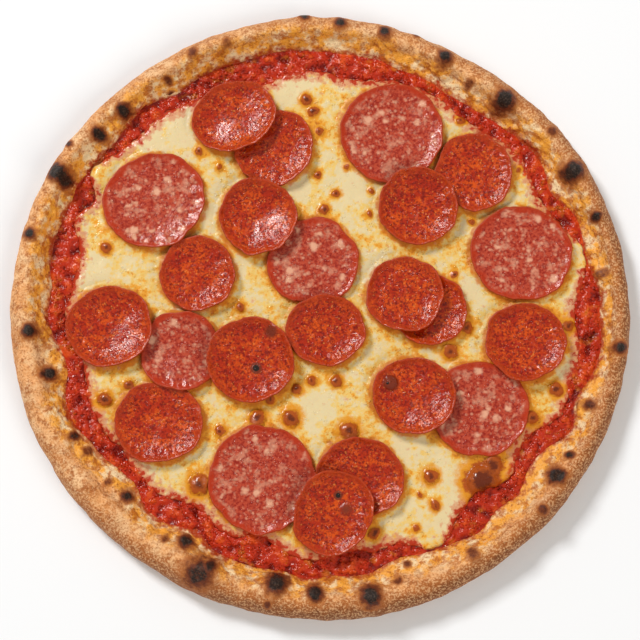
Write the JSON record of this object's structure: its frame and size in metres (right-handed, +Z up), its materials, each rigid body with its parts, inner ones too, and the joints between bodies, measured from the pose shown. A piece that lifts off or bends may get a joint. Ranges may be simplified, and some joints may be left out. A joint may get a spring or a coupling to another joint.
{
  "type": "whole salami pizza",
  "caption": "Whole round pizza, baked and uncut: a raised browned crust, tomato sauce, melted cheese, and round slices of small pepperoni and large marbled salami.",
  "frame": {"origin": "middle of the flat underside, where the pizza rests", "axes": "+Z up, out of the toppings; +X to the right and +Y towards the top of the pizza as the picture shows it"},
  "size_m": [0.3, 0.295, 0.0209],
  "materials": {
    "crust": "baked dough, floury and browned, with charred blisters",
    "sauce": "wet cooked tomato with pulp",
    "cheese": "melted cheese, oily, with golden and browned patches",
    "pepperoni": "fine-grained cured sausage, oily",
    "salami": "cured sausage marbled with pale fat, oily"
  },
  "bodies": {
    "root": {"crust": "crust", "tomato_sauce": "sauce", "cheese": "cheese", "pepperoni_01": "pepperoni", "pepperoni_02": "pepperoni", "pepperoni_03": "pepperoni", "pepperoni_04": "pepperoni", "pepperoni_05": "pepperoni", "pepperoni_06": "pepperoni", "pepperoni_07": "pepperoni", "pepperoni_08": "pepperoni", "pepperoni_09": "pepperoni", "pepperoni_10": "pepperoni", "pepperoni_11": "pepperoni", "pepperoni_12": "pepperoni", "pepperoni_13": "pepperoni", "pepperoni_14": "pepperoni", "pepperoni_15": "pepperoni", "pepperoni_16": "pepperoni", "salami_01": "salami", "salami_02": "salami", "salami_03": "salami", "salami_04": "salami", "salami_05": "salami", "salami_06": "salami", "salami_07": "salami"}
  },
  "joints": []
}
